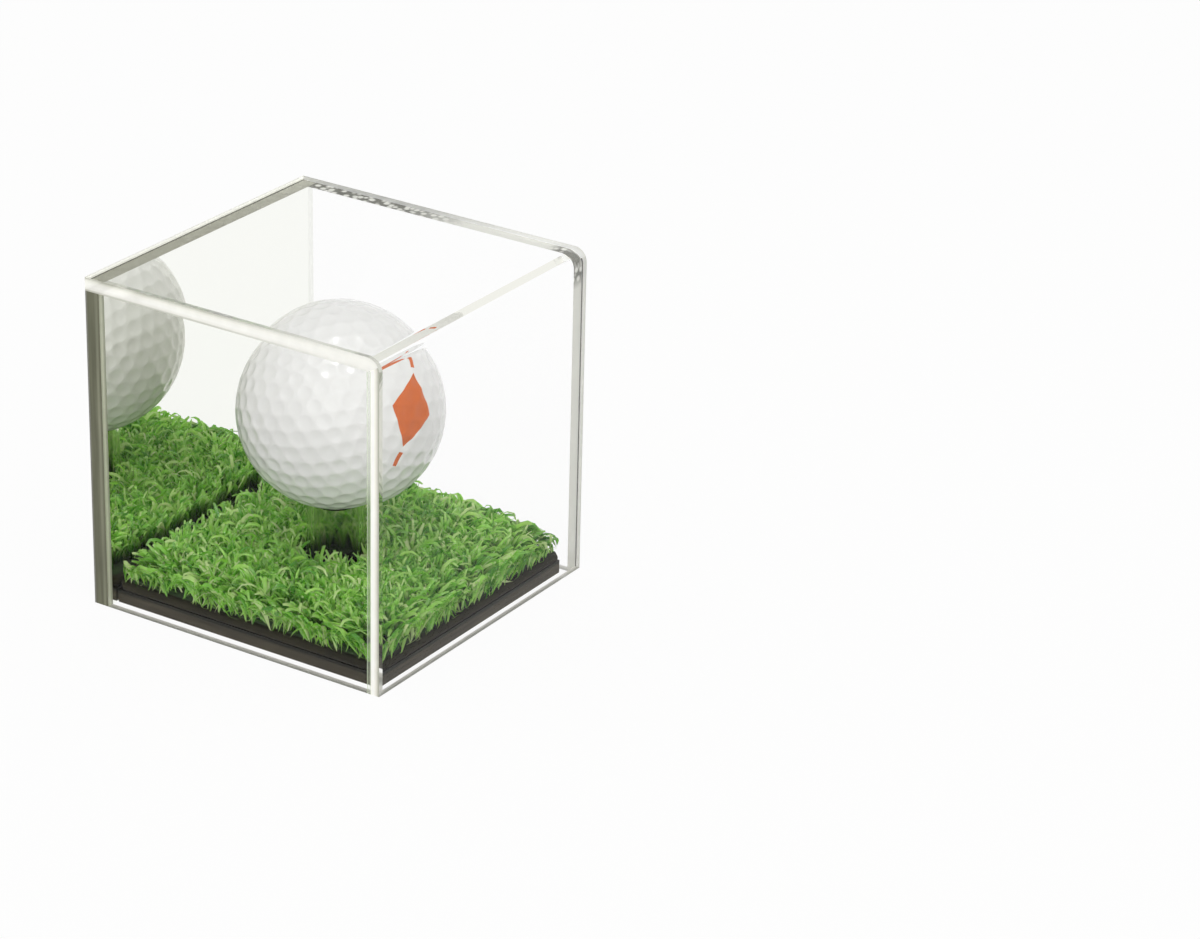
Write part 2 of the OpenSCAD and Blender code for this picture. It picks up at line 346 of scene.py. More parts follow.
# %% Finish: lacquered white cover
ball_paint, tree = new_finish("lacquered_white_paint")
place = add_node(tree, "TexCoord").outputs["Object"]
peel = add_node(tree, "TexNoise", {"Vector": place, "Scale": 1800.0, "Detail": 2.0})
relief = add_node(tree, "Bump", {"Height": peel, "Strength": 0.12, "Distance": 0.02 * MM})
haze = add_node(tree, "TexNoise", {"Vector": place, "Scale": 140.0, "Detail": 4.0})
dullness = add_node(tree, "MapRange", [haze, 0, 1, 0.26, 0.4])
paint = add_node(tree, "BsdfPrincipled", {
    "Base Color": "#EFEFEC", "Roughness": dullness, "Coat Weight": 0.8, "Coat Roughness": 0.08,
    "Normal": relief,
})
add_node(tree, "OutputMaterial", [paint])
make_piece(
    "ball_cover_dimpled", ball_points, ball_triangles, [ball_paint], "ball", ["ball_cover"], "ball_white"
)

# %% [markdown]
# A printed mark sits on the ball's front shoulder. Here it is a plain diamond with a bar
# at each end, a common aid for lining up a putt. It could be painted in the shader, but
# a thin skin that follows the dimples has crisper edges. Each printed shape is a small
# grid laid on the ball and lifted by the thickness of the ink. Ink, rubber and coats are
# all a little uneven in tone, so one function makes such finishes.

# %% Finish: pad-printed ink


def mottled_finish(name, spots, dark, light, skin, relief=None):
    """A finish whose tone wanders between two colours with fine noise, raised by another.

    Spots are the noise's scale and detail. Relief adds its strength and depth to these.
    """
    material, tree = new_finish(name)
    place = add_node(tree, "TexCoord").outputs["Object"]
    noise = add_node(tree, "TexNoise", {"Vector": place, "Scale": spots[0], "Detail": spots[1]})
    tone = add_node(tree, "Mix", {"Factor": noise, "A": dark, "B": light}, data_type="RGBA")
    inputs = {"Base Color": tone, **skin}
    if relief:
        scale, detail, strength, depth = relief
        grain = add_node(tree, "TexNoise", {"Vector": place, "Scale": scale, "Detail": detail})
        raised = {"Height": grain, "Strength": strength, "Distance": depth}
        inputs["Normal"] = add_node(tree, "Bump", raised)
    surface = add_node(tree, "BsdfPrincipled", inputs)
    add_node(tree, "OutputMaterial", [surface])
    return material


ink = mottled_finish(
    "pad_printed_orange_ink", (900.0, 3.0), "#CE5E1A", "#E07228",
    {"Roughness": 0.5, "Coat Weight": 0.25, "Coat Roughness": 0.12},
)

# %% The printed mark
ink_lift = 0.012 * MM
mark_out, mark_along, mark_across = three_ways(-10, 17, 64)


def printed_patch(u, v):
    """Points of a flat pattern, at u along the mark and v across it, laid on the ball."""
    flat = mark_out * ball_r + u[:, None] * mark_along + v[:, None] * mark_across
    out = flat / np.linalg.norm(flat, axis=1)[:, None]
    return ball_centre + out * (surface_radius(out) + ink_lift)[:, None]


def printed_shape(length, width, steps, middle=0.0, pointed=True):
    """A diamond or a bar: its half width falls in a straight line to each end if it is pointed."""
    s, t = np.meshgrid(np.linspace(-1, 1, steps), np.linspace(-1, 1, steps // 2), indexing="ij")
    half = (1 - np.abs(s)) * width / 2 if pointed else np.full(s.shape, width / 2)
    points = printed_patch((middle + s * length / 2).ravel(), (t * half).ravel())
    return points, grid_faces(*s.shape)


mark_parts = [printed_shape(17 * MM, 11 * MM, 81)]
for bar_middle in (12.2 * MM, -12.2 * MM):
    mark_parts.append(printed_shape(4.5 * MM, 1.1 * MM, 31, middle=bar_middle, pointed=False))
starts = np.cumsum([0] + [len(points) for points, _ in mark_parts])
mark_points = np.concatenate([points for points, _ in mark_parts])
mark_faces = np.concatenate([faces[:, ::-1] + start for (_, faces), start in zip(mark_parts, starts)])
make_piece("ball_printed_mark", mark_points, mark_faces, [ink], "ball", slot="ball_white")

# %% [markdown]
# ## The grass
#
# Artificial grass is polyethylene ribbon, almost a millimetre wide, pushed through a woven
# sheet in tufts and held by black latex. Each ribbon is slit and slightly folded, so it
# catches the light along its middle. A particle system could scatter blades, but it can't
# be baked piece by piece. So all blades are worked out at once: each has a foot, a
# direction to lean, a bend that grows along it, and a twist. A tuft is left out where the
# eighth powers of its shares of the half size add up to more than the corner limit.

# %% Where the blades stand
rng = np.random.default_rng(7)
margin = 0.9 * MM
back_margin = 1.2 * MM
weave_t = 0.6 * MM
tuft_rows, blades_per_tuft = 20, 18
tuft_reach = 1.2 * MM
tuft_jitter = 0.8
hole_shift = np.array([0.67, 0.43]) * MM
hole_margin = 2.1 * MM
corner_limit = 1.9

field_low, field_high = pile_low[:2] + margin, pile_high[:2] - margin
half_size, field_middle = (field_high - field_low) / 2, (field_high + field_low) / 2
weave_z = pile_low[2] + weave_t
tuft_x, tuft_y = np.meshgrid(
    np.linspace(field_low[0], field_high[0], tuft_rows),
    np.linspace(field_low[1], field_high[1] - back_margin, tuft_rows),
)
tufts = np.stack([tuft_x.ravel(), tuft_y.ravel()], -1)
tufts += rng.uniform(-tuft_jitter, tuft_jitter, tufts.shape) * MM
tufts = tufts[np.linalg.norm(tufts + hole_shift, axis=1) > stand_r + hole_margin]
tufts = tufts[(np.abs((tufts - field_middle) / half_size) ** 8).sum(1) < corner_limit]
tuft_of = np.repeat(np.arange(len(tufts)), blades_per_tuft)
count = len(tuft_of)
tuft_out = on_circle(rng.uniform(0, 2 * math.pi, count)) * rng.uniform(0, 1, (count, 1)) ** 0.5
feet = tufts[tuft_of] + tuft_reach * tuft_out
print(len(tufts), "tufts", count, "blades")

# %% [markdown]
# A blade leans away from the middle of its tuft, a little at random, and outwards near
# the front and side edges, because nothing holds it there. Its angle from the upright, in
# radians, grows slowly at the root and fast at the tip, so most blades end in a small
# curl, and those at the edge arch over and hang down. The middle line is the running sum
# of short steps at that angle. Each blade is then scaled to the height drawn for it. The
# pile gets lower towards its edges, most of all at the right front corner, which is worn.

# %% The shape of a blade
segments = 7
from_tuft, lean_spread, edge_pull, most_lean = 0.6, 0.45, 1.8, 1.5
tight_share, tight_curl, easy_curl = 0.2, (1.9, 3.0), (0.1, 1.1)
short_share, short_hang, long_hang = 0.28, (1.2, 2.2), (2.4, 3.1)
tight_bend_late, easy_bend_late = 2.6, 1.5
swing_spread = 0.6
edge_drop, hang_drop, worn_drop = 0.2, 0.15, 0.4

edge_share = (feet - field_middle) / half_size
edge_push = np.sign(edge_share) * np.clip(np.abs(edge_share), 0, 1.02) ** 16
edge_push[:, 1] = np.minimum(edge_push[:, 1], 0)
edge_size = np.minimum(np.linalg.norm(edge_push, axis=1), 1)
lean_vector = from_tuft * tuft_out + rng.normal(0, lean_spread, (count, 2)) + edge_pull * edge_push
lean_size = np.minimum(np.linalg.norm(lean_vector, axis=1), most_lean)
lean_angle = np.arctan2(lean_vector[:, 1], lean_vector[:, 0])
start_angle = 0.25 * lean_size * rng.uniform(0.2, 1.3, count) * (1 + edge_size)
tight = rng.uniform(0, 1, count) < tight_share
curl = np.where(tight, rng.uniform(*tight_curl, count), rng.uniform(*easy_curl, count))
short = rng.uniform(0, 1, count) < short_share
hang = np.where(short, rng.uniform(*short_hang, count), rng.uniform(*long_hang, count))
end_angle = start_angle + curl * (1 - edge_size) + hang * edge_size
step_at = (np.arange(segments) + 0.5) / segments
bend_late = np.where(tight, tight_bend_late, easy_bend_late) * (1 - edge_size) + edge_size
angle = start_angle[:, None] + (end_angle - start_angle)[:, None] * step_at ** bend_late[:, None]
swing = lean_angle[:, None] + rng.normal(0, swing_spread, count)[:, None] * step_at
steps = np.concatenate([np.sin(angle)[..., None] * on_circle(swing), np.cos(angle)[..., None]], -1)
run = np.concatenate([np.zeros((count, 1, 3)), np.cumsum(steps, 1)], 1)
edge_near = (np.abs(edge_share) ** 10).sum(1) ** 0.1
worn = np.clip(edge_share[:, 0], 0, 1) * np.clip(-edge_share[:, 1], 0, 1)
rounding = 1 - edge_drop * np.clip(edge_near, 0, 1.05) ** 12
rounding -= rng.uniform(0.0, hang_drop, count) * edge_size
rounding -= worn_drop * worn ** 5
tuft_tall = rng.uniform(0.86, 1.0, len(tufts))[tuft_of]
tall = (pile_high[2] - weave_z) * rng.uniform(0.7, 1.03, count) * tuft_tall * rounding
run *= (tall / run[..., 2].max(1))[:, None, None]
middle = np.concatenate([feet, np.full((count, 1), weave_z)], -1)[:, None] + run
print("blade length", np.linalg.norm(np.diff(middle, axis=1), axis=2).sum(1).mean() / MM, "mm")

# %% [markdown]
# Blades that lean out of the field are drawn back by a hyperbolic tangent, which keeps
# short ways as they are and never lets them pass a chosen reach. The reach is small at
# the back, where the turf was cut straight, and longest at the front and the left.

# %% Draw the blades back to the field
right_and_back_reach = np.array([1.7, 0.7])
left_and_front_reach = np.array([2.6, 2.6])
away = middle[..., :2] - field_middle
reach = np.where(away > 0, right_and_back_reach, left_and_front_reach) * MM
over = np.maximum(np.abs(away) - half_size, 0)
drawn = np.minimum(np.abs(away), half_size) + reach * np.tanh(over / reach)
middle[..., :2] = field_middle + np.sign(away) * drawn
print("blade points outside the field:", np.count_nonzero(over.max(-1)))

# %% [markdown]
# The ribbon is the middle line widened to three points: two edges and a raised fold
# between them. It turns slowly about its own line, and narrows to a blunt tip. The
# ribbon's own directions come from its line: one across it and level, one square to both.
# Each hanging blade was trimmed at its own height, its hem, and comes to a point there.

# %% The ribbons
ribbon_widths = (0.55, 0.9)
taper = np.array([0.7, 0.9, 1.0, 1.0, 1.0, 0.95, 0.85, 0.55])
fold_share = 0.35
hem_rise, hem_point, hem_least = 2.6, 1.6 * MM, 0.12

along = np.gradient(middle, axis=1)
along /= np.linalg.norm(along, axis=2)[..., None]
level = np.cross(along, np.array([0.0, 0.0, 1.0]))
level += np.stack([-np.sin(lean_angle), np.cos(lean_angle), np.zeros(count)], -1)[:, None] * -1e-3
level /= np.linalg.norm(level, axis=2)[..., None]
square = np.cross(level, along)
twist_by = np.linspace(0, 1, segments + 1)
twist = rng.normal(0, 0.6, count)[:, None] + rng.uniform(-1.3, 1.3, count)[:, None] * twist_by
across = np.cos(twist)[..., None] * level + np.sin(twist)[..., None] * square
over = np.cross(across, along)
ribbon_width = rng.uniform(*ribbon_widths, count) * (1 + 0.2 * edge_size) * MM
hem = mat_high[2] + 0.05 * MM + edge_size * rng.uniform(0, 1, count) ** 1.2 * hem_rise * MM
pointed = np.clip((middle[..., 2] - hem[:, None]) / hem_point, hem_least, 1)
half_width = (ribbon_width[:, None] * taper * (1 + edge_size[:, None] * (pointed - 1)) / 2)[..., None]
fold = fold_share * half_width
rails = np.stack([middle - across * half_width, middle + over * fold, middle + across * half_width], 2)
print("ribbon width", ribbon_width.min() / MM, "to", ribbon_width.max() / MM, "mm")

# %% [markdown]
# The blades must not pass through the tube, the ball or the walls. So points that reach
# past a wall are held just inside it, points inside the tube are moved out to its skin,
# and no blade rises into the ball or sinks into the mat.

# %% Keep the blades clear
clear = 0.3 * MM
wall_x = -side_high[0] - clear
above_pile = 0.4 * MM
rails[..., 0] = np.clip(rails[..., 0], -wall_x, wall_x)
rails[..., 1] = np.clip(rails[..., 1], inner_front + clear, inner_back - clear)
rails[..., 2] = np.clip(rails[..., 2], hem[:, None, None], pile_high[2] + above_pile)
from_axis = np.hypot(rails[..., 0], rails[..., 1])
push = np.where(from_axis < stand_r + clear, (stand_r + clear) / np.maximum(from_axis, 1e-6), 1.0)
rails[..., :2] *= push[..., None]
print("points moved off the tube:", np.count_nonzero(push > 1))

# %% [markdown]
# Polyethylene ribbon is glossy and lets some light through, so a lit blade glows and its
# shaded side stays green. Three numbers are stored with every point: how high it stands
# in the pile, for painted shade that darkens the roots deep in the pile, how far along the
# blade it is, for a painted highlight that makes the tips pale, and a tone for the whole
# blade, because the yarn mixes a few greens. A blade that hangs over the edge is out in
# the light, so it counts as high to its tip and gets no painted root shade.

# %% Finish: polyethylene grass yarn
grass, tree = new_finish("polyethylene_grass_yarn")
height_at = add_node(tree, "Attribute", attribute_name="blade_height").outputs["Fac"]
along_at = add_node(tree, "Attribute", attribute_name="blade_along").outputs["Fac"]
shade_at = add_node(tree, "Attribute", attribute_name="blade_shade").outputs["Fac"]
yarn = add_node(
    tree, "ValToRGB", [shade_at], {0: "#62B22E", 0.35: "#9AE44E", 0.7: "#C2F874", 1: "#ECFFB6"}
)
# Painted shade: the yarn darkens towards the roots, deep in the pile.
painted_root_shade = add_node(tree, "ValToRGB", [height_at], {0: "#384A2A", 0.33: "#BCCAA8", 0.66: "#FFFFFF"})
# Painted highlight: the tips are paler.
painted_tip_highlight = add_node(tree, "ValToRGB", [along_at], {0: "#000000", 0.74: "#000000", 1: "#9C9C9C"})
mixed = {"Factor": 1.0, "A": yarn, "B": painted_root_shade}
yarn_in_painted_shade = add_node(tree, "Mix", mixed, data_type="RGBA", blend_type="MULTIPLY")
yarn_with_painted_tips = add_node(tree, "Mix", {"Factor": painted_tip_highlight, "A": yarn_in_painted_shade, "B": "#E0F4B0"}, data_type="RGBA")
ribbon = add_node(
    tree, "BsdfPrincipled", {"Base Color": yarn_with_painted_tips, "Roughness": 0.2, "Specular IOR Level": 0.7}
)
glow = add_node(tree, "BsdfTranslucent", [yarn_with_painted_tips])
yarn_mix = add_node(tree, "MixShader", [0.4, ribbon, glow])
add_node(tree, "OutputMaterial", [yarn_mix])

# %% Put the blades into two meshes
height_share = np.clip((rails[..., 2] - weave_z) / (pile_high[2] - weave_z), 0, 1)
blade_along = np.broadcast_to(twist_by[None, :, None], height_share.shape)
# Hanging blades count as high to their tips, so they get no painted root shade.
blade_height = np.maximum(height_share, blade_along * edge_size[:, None, None])
own_shade = np.clip(rng.normal(0.5, 0.33, count), 0, 1)
blade_shade = np.broadcast_to(own_shade[:, None, None], height_share.shape)


def blade_mesh(name, chosen, nodes=()):
    """Ribbons of the chosen blades, each a grid of segments + 1 rows and 3 columns."""
    starts = np.arange(len(chosen))[:, None, None] * (segments + 1) * 3
    faces = (grid_faces(segments + 1, 3)[None] + starts).reshape(-1, 4)
    make_piece(
        name, rails[chosen].reshape(-1, 3), faces, [grass], "base", nodes, "grass",
        blade_height=blade_height[chosen], blade_along=blade_along[chosen], blade_shade=blade_shade[chosen],
    )


blade_mesh("grass_tufts_left", np.flatnonzero(feet[:, 0] < 0), ["turf_pile"])
blade_mesh("grass_tufts_right", np.flatnonzero(feet[:, 0] >= 0))

# %% [markdown]
# Between the tufts lies a thatch of short crimped yarn that hides the weave. From the side
# it is only a dark green ground, so one rumpled sheet with a hole for the stand does it.
# Its dark green is the yarn's green darkened by painted shade, for the shade under the blades.
# It is a grid in polar form: rings that run from the hole to the square edge.

# %% Finish: crimped thatch yarn
# Painted shade: the thatch is much darker than the yarn above it.
thatch = mottled_finish(
    "crimped_thatch_yarn_in_painted_shade", (900.0, 5.0), "#1E2A14", "#3A5A26", {"Roughness": 0.7},
    relief=(900.0, 5.0, 0.8, 0.4 * MM),
)

# %% The thatch under the blades
rings, spokes = 40, 240
thatch_hole_r = stand_r + 2.0 * MM
thatch_reach = 1.2 * MM


def square_ring(angles, half_x, half_y):
    """Points of a rectangle's edge, seen from its middle at the given angles."""
    way = on_circle(angles)
    return way * (1 / np.maximum(np.abs(way[:, 0]) / half_x, np.abs(way[:, 1]) / half_y))[:, None]


spoke_angle = full_circle(spokes)
hole = thatch_hole_r * on_circle(spoke_angle)
outer = field_middle + square_ring(spoke_angle, *(half_size + thatch_reach))
thatch_xy = hole + (outer - hole) * np.linspace(0, 1, rings)[:, None, None]
thatch_z = weave_z + rng.uniform(-0.2, 0.5, thatch_xy.shape[:2]) * MM
thatch_z[0] = thatch_z[-1] = mat_high[2]
thatch_points = np.concatenate([thatch_xy, thatch_z[..., None]], -1).reshape(-1, 3)
thatch_faces = grid_faces(rings, spokes, close_columns=True)
make_piece("thatch_sheet", thatch_points, thatch_faces, [thatch], "base", slot="grass")

# %% [markdown]
# ## The mat and the base
#
# The mat is black latex, cut with a knife, so its edge is soft and a little wavy. It is
# made as a profile carried round a square path: over the top from the hole to the edge,
# round the edge, and back underneath. The rubber has a dull, slightly brown black.

# %% Finish: black latex
latex = mottled_finish(
    "black_latex_backing", (120.0, 3.0), "#161410", "#38331F",
    {"Roughness": 0.7, "Specular IOR Level": 0.2}, relief=(700.0, 6.0, 0.6, 0.15 * MM),
)

# %% The mat with its wavy cut edge
path_steps = 480
knife_waves = ((7, 0.4), (13, 2.1), (29, 4.0), (53, 1.2))
knife_depth = 0.09 * MM
cutout_r = 7.6 * MM
path_angle = full_circle(path_steps)
mat_half, mat_middle = (mat_high[:2] - mat_low[:2]) / 2, (mat_high[:2] + mat_low[:2]) / 2
edge_r = (mat_high[2] - mat_low[2]) / 2
mat_z = (mat_low[2] + mat_high[2]) / 2
wave = sum(np.sin(k * path_angle + phase) / k for k, phase in knife_waves)
wave_depth = (wave - wave.max()) * knife_depth
hole_ring = cutout_r * on_circle(path_angle)
rim_ring = mat_middle + square_ring(path_angle, *(mat_half - edge_r))
inner_ring = rim_ring * 0.6 + hole_ring * 0.4
from_middle = rim_ring - mat_middle
side_way = np.where(np.abs(from_middle) >= mat_half - edge_r - 1e-7, np.sign(from_middle), 0.0)
side_way /= np.linalg.norm(side_way, axis=1)[:, None]


def mat_ring(turned):
    """The edge line pushed out by a half circle's width at this angle, less the knife's wave."""
    out = (edge_r + wave_depth) * math.cos(turned)
    return rim_ring + side_way * out[:, None], mat_z + edge_r * math.sin(turned)


profile = [(hole_ring, mat_high[2]), (inner_ring, mat_high[2])]
profile += [mat_ring(turned) for turned in np.linspace(math.pi / 2, -math.pi / 2, 13)]
profile += [(inner_ring, mat_low[2]), (hole_ring, mat_low[2])]
mat_points = np.concatenate([np.column_stack([ring, np.full(path_steps, z)]) for ring, z in profile])
mat_faces = grid_faces(len(profile), path_steps, close_rows=True, close_columns=True)
make_piece("latex_mat", mat_points, mat_faces, [latex], "base", ["turf_backing"], "mat_rubber", crease=40)

# %% [markdown]
# The base plate is black acrylic, cut on a table saw. The imported plate has the right
# shape and stays. The saw's fine lines run along its cut sides, so they are noise that is
# squeezed along Z. The side is painted darker at its top: painted shade under the edge of
# the mat. The mirror's edge is sawn too, so one function makes both finishes.

# %% Finish: saw-cut black acrylic


def saw_cut_finish(name, squeeze, dark, light, axis, low, high, stops, gloss, relief=None):
    """Saw lines, which are squeezed noise between two tones, times a ramp along one axis.

    The axis is 1 for Y and 2 for Z, and the ramp runs from the low to the high corner.
    Relief is the strength and the depth of the lines.
    """
    material, tree = new_finish(name)
    place = add_node(tree, "TexCoord").outputs["Object"]
    squeezed = add_node(tree, "Mapping", {"Vector": place, "Scale": squeeze})
    lines = add_node(tree, "TexNoise", {"Vector": squeezed, "Scale": 1.0, "Detail": 5.0})
    tone = add_node(tree, "Mix", {"Factor": lines, "A": dark, "B": light}, data_type="RGBA")
    at = add_node(tree, "SeparateXYZ", [place]).outputs[axis]
    share = add_node(tree, "MapRange", [at, low[axis], high[axis]])
    ramp = add_node(tree, "ValToRGB", [share], stops)
    tint = add_node(
        tree, "Mix", {"Factor": 1.0, "A": tone, "B": ramp}, data_type="RGBA", blend_type="MULTIPLY"
    )
    inputs = {"Base Color": tint, "Roughness": 0.5, "Specular IOR Level": gloss}
    if relief:
        raised = {"Height": lines, "Strength": relief[0], "Distance": relief[1]}
        inputs["Normal"] = add_node(tree, "Bump", raised)
    surface = add_node(tree, "BsdfPrincipled", inputs)
    add_node(tree, "OutputMaterial", [surface])
    return material


def refinish(node, finish):
    """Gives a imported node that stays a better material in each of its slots."""
    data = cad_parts[node].data
    if not data.materials:
        data.materials.append(finish)
    for k in range(len(data.materials)):
        data.materials[k] = finish


# The ramp along Z paints shade on the top of the plate's side, under the mat.
plate = saw_cut_finish(
    "saw_cut_black_acrylic", (70.0, 70.0, 1700.0), "#15120C", "#645D4C", 2, plate_low, plate_high,
    {0: "#FFFFFF", 0.66: "#FFFFFF", 0.84: "#70706A"}, gloss=0.25, relief=(0.5, 0.08 * MM),
)
refinish("base_plate", plate)

# %% [markdown]
# ## The clear cover
#
# Cast acrylic bends light by 1.49, so the ball looks a little nearer and larger through
# each wall. Real refraction gives this for free, so each sheet is a closed solid. One
# glass shader would also mirror the whole white studio, and the grass would look milky,
# while a real studio is dark beside its lamps. So two shaders bend and mirror the light,
# and the mirror's share is Fresnel's law raised to a power: weak reflections almost
# vanish, and total reflection inside the sheet, which makes the edges shine, stays whole.
# A ray that has been mirrored twice is let out straight, a little dimmed, because the
# renderer would soon drop it and leave a black line. By then it points as it did at
# first. Rays that look for lamps pass straight through, and so light the ball and grass.

# %% Finish: clear cast acrylic
acrylic_ior = 1.49
fresnel_power = 1.7
most_mirrored = 1.5


def clear_finish(name, dim, tint="#FFFFFF", rough=0.0):
    """Acrylic that bends light and mirrors it weakly, and is open to rays that look for lamps."""
    material, tree = new_finish(name)
    law = add_node(tree, "Fresnel", [acrylic_ior])
    share = add_node(tree, "Math", [law, fresnel_power], operation="POWER")
    bend = add_node(tree, "BsdfRefraction", [tint, rough, acrylic_ior])
    mirror = add_node(tree, "BsdfAnisotropic", ["#FFFFFF", 0.0])
    solid = add_node(tree, "MixShader", [share, bend, mirror])
    path = add_node(tree, "LightPath").outputs
    trapped = add_node(tree, "Math", [path["Glossy Depth"], most_mirrored], operation="GREATER_THAN")
    dimmed = add_node(tree, "BsdfTransparent", [dim])
    let_out = add_node(tree, "MixShader", [trapped, solid, dimmed])
    window = add_node(tree, "BsdfTransparent", ["#FEFEFE"])
    both = add_node(tree, "MixShader", [path["Is Shadow Ray"], let_out, window])
    add_node(tree, "OutputMaterial", [both])
    return material


acrylic = clear_finish("clear_cast_acrylic", dim="#FAFAF7")
bent_acrylic = clear_finish("bent_cast_acrylic", dim="#FDFDFB")

# %% [markdown]
# A sawn edge scatters the light that runs inside the sheet, so it looks a warm white. This
# light is painted: the edge glows by its own emission, though it is no lamp. Its tones are
# painted light and shade as well, with darker lines of painted shade on each rim, where the
# rims bend the light away. Every point of an edge strip stores on which rim it lies, 0
# outside and 1 inside, so a ramp can draw the tones across the strip. A second ramp says how
# clear it is, because cement has wetted parts of the cut. Towards the front the top edge
# gets more painted light: its lines fade to white there, and seen from inside it glows
# more. Seen from inside the sheet the same edge has other tones, painted for the light and
# shade that reach it there, and the geometry node knows which side is seen.

# %% Finish: sawn acrylic edge
# Painted light: how strongly the sawn edges glow by emission.
edge_painted_glow, front_painted_glow, back_edge_painted_glow = 0.18, 0.5, 0.55
cut_roughness = 0.2
fade_from, fade_to = 5 * MM, -28 * MM
saw_cut_tone = {0: "#D8D8CE", 1: "#EBEBE1"}
hardly_open = {0: "#404040", 1: "#404040"}


def sawn_finish(name, outer_stops, inner_stops, open_stops=hardly_open, front_painted_light=0.0, glow=edge_painted_glow):
    """An edge with painted light: a glow, and a ramp of tones across it for each side that it is seen from.
    """
    material, tree = new_finish(name)
    place = add_node(tree, "TexCoord").outputs["Object"]
    rim = add_node(tree, "Attribute", attribute_name="edge_rim").outputs["Fac"]
    fine = add_node(tree, "TexNoise", {"Vector": place, "Scale": 420.0, "Detail": 4.0})
    tone = add_node(tree, "MapRange", [fine, 0.3, 0.7, 0.94, 1])
    depth = add_node(tree, "SeparateXYZ", [place]).outputs["Y"]
    near_front = add_node(tree, "MapRange", [depth, fade_from, fade_to, 0, front_painted_light])
    across = add_node(tree, "ValToRGB", [rim], outer_stops)
    outer = add_node(tree, "Mix", {"Factor": near_front, "A": across, "B": "#F9F8F2"}, data_type="RGBA")
    inner = add_node(tree, "ValToRGB", [rim], inner_stops)
    # Painted light and shade: other tones when the edge is seen from inside.
    from_inside = add_node(tree, "NewGeometry").outputs["Backfacing"]
    edge_tint = add_node(tree, "Mix", {"Factor": from_inside, "A": outer, "B": inner}, data_type="RGBA")
    lit = add_node(tree, "VectorMath", {0: edge_tint, "Scale": tone}, operation="SCALE")
    inside_front = add_node(tree, "Math", [near_front, from_inside], operation="MULTIPLY")
    strength = add_node(tree, "Math", [inside_front, front_painted_glow, glow], operation="MULTIPLY_ADD")
    # Painted light: the edge glows by its own emission, more near the front when seen from inside.
    skin = add_node(tree, "BsdfPrincipled", {
        "Base Color": lit, "Roughness": 0.3, "Emission Color": lit, "Emission Strength": strength,
    })
    through = add_node(tree, "BsdfRefraction", ["#FFFFFF", cut_roughness, acrylic_ior])
    open_share = add_node(tree, "ValToRGB", [rim], open_stops)
    edge = add_node(tree, "MixShader", [open_share, skin, through])
    add_node(tree, "OutputMaterial", [edge])
    return material


inside_tones = {0: "#E6E7E2", 0.3: "#F6F6F1", 1: "#FFFFFF"}
sawn_top = sawn_finish(
    "sawn_acrylic_top_edge",
    {
        0: "#B9B9AC", 0.08: "#BDBDB0", 0.2: "#E6E5DA", 0.32: "#F8F7F0",
        0.6: "#FFFEFA", 0.82: "#F6F5EE", 0.92: "#CDCDC2", 1: "#C4C4B8",
    },
    inside_tones, {0: "#8A8A8A", 1: "#8A8A8A"}, front_painted_light=0.8,
)
sawn_front = sawn_finish(
    "sawn_acrylic_front_edge",
    {
        0: "#A4A496", 0.07: "#B2B2A4", 0.18: "#DAD7CC", 0.32: "#F3F1E8",
        0.46: "#FFFEFA", 0.66: "#FEFEF6", 0.76: "#CFDDBC", 1: "#D6E4C4",
    },
    inside_tones,
    {0: "#404040", 0.66: "#404040", 0.76: "#E4E4E4", 0.92: "#E4E4E4", 1: "#909090"},
)
sawn_back = sawn_finish(
    "sawn_acrylic_back_edge", saw_cut_tone,
    {0: "#D2D2C8", 0.25: "#FFFFFA", 0.7: "#F4F4EC", 1: "#D8D8CC"}, glow=back_edge_painted_glow,
)
sawn_wall_end = sawn_finish(
    "sawn_acrylic_wall_end", {0: "#B9B9AC", 1: "#D0D0C4"},
    {0: "#B4B79E", 0.4: "#DADDC6", 0.7: "#B9BCA4", 1: "#8F927A"},
)
# Painted shade: the foot is darker seen from inside, where no light comes from below.
sawn_foot = sawn_finish(
    "sawn_acrylic_foot", saw_cut_tone, {0: "#A2A29B", 0.3: "#B0B0A9", 0.6: "#D3D1CB", 1: "#E2E0DA"}
)

# %% [markdown]
# The walls are joined by solvent cement. Where it has run in well, it joins the sheets
# into one clear body, so the joint faces are open to light, with no bending. Above the
# left wall the cement is a little hazy. Above the right wall it is full of bubbles in the
# back half and inside the bend, and down the front it is faintly grey. Where it is not
# clear, it glows faintly by its own emission, which is painted light.

# %% Finish: solvent cement
cement_painted_glow = 0.1
haze_tone = "#F2F2EC"


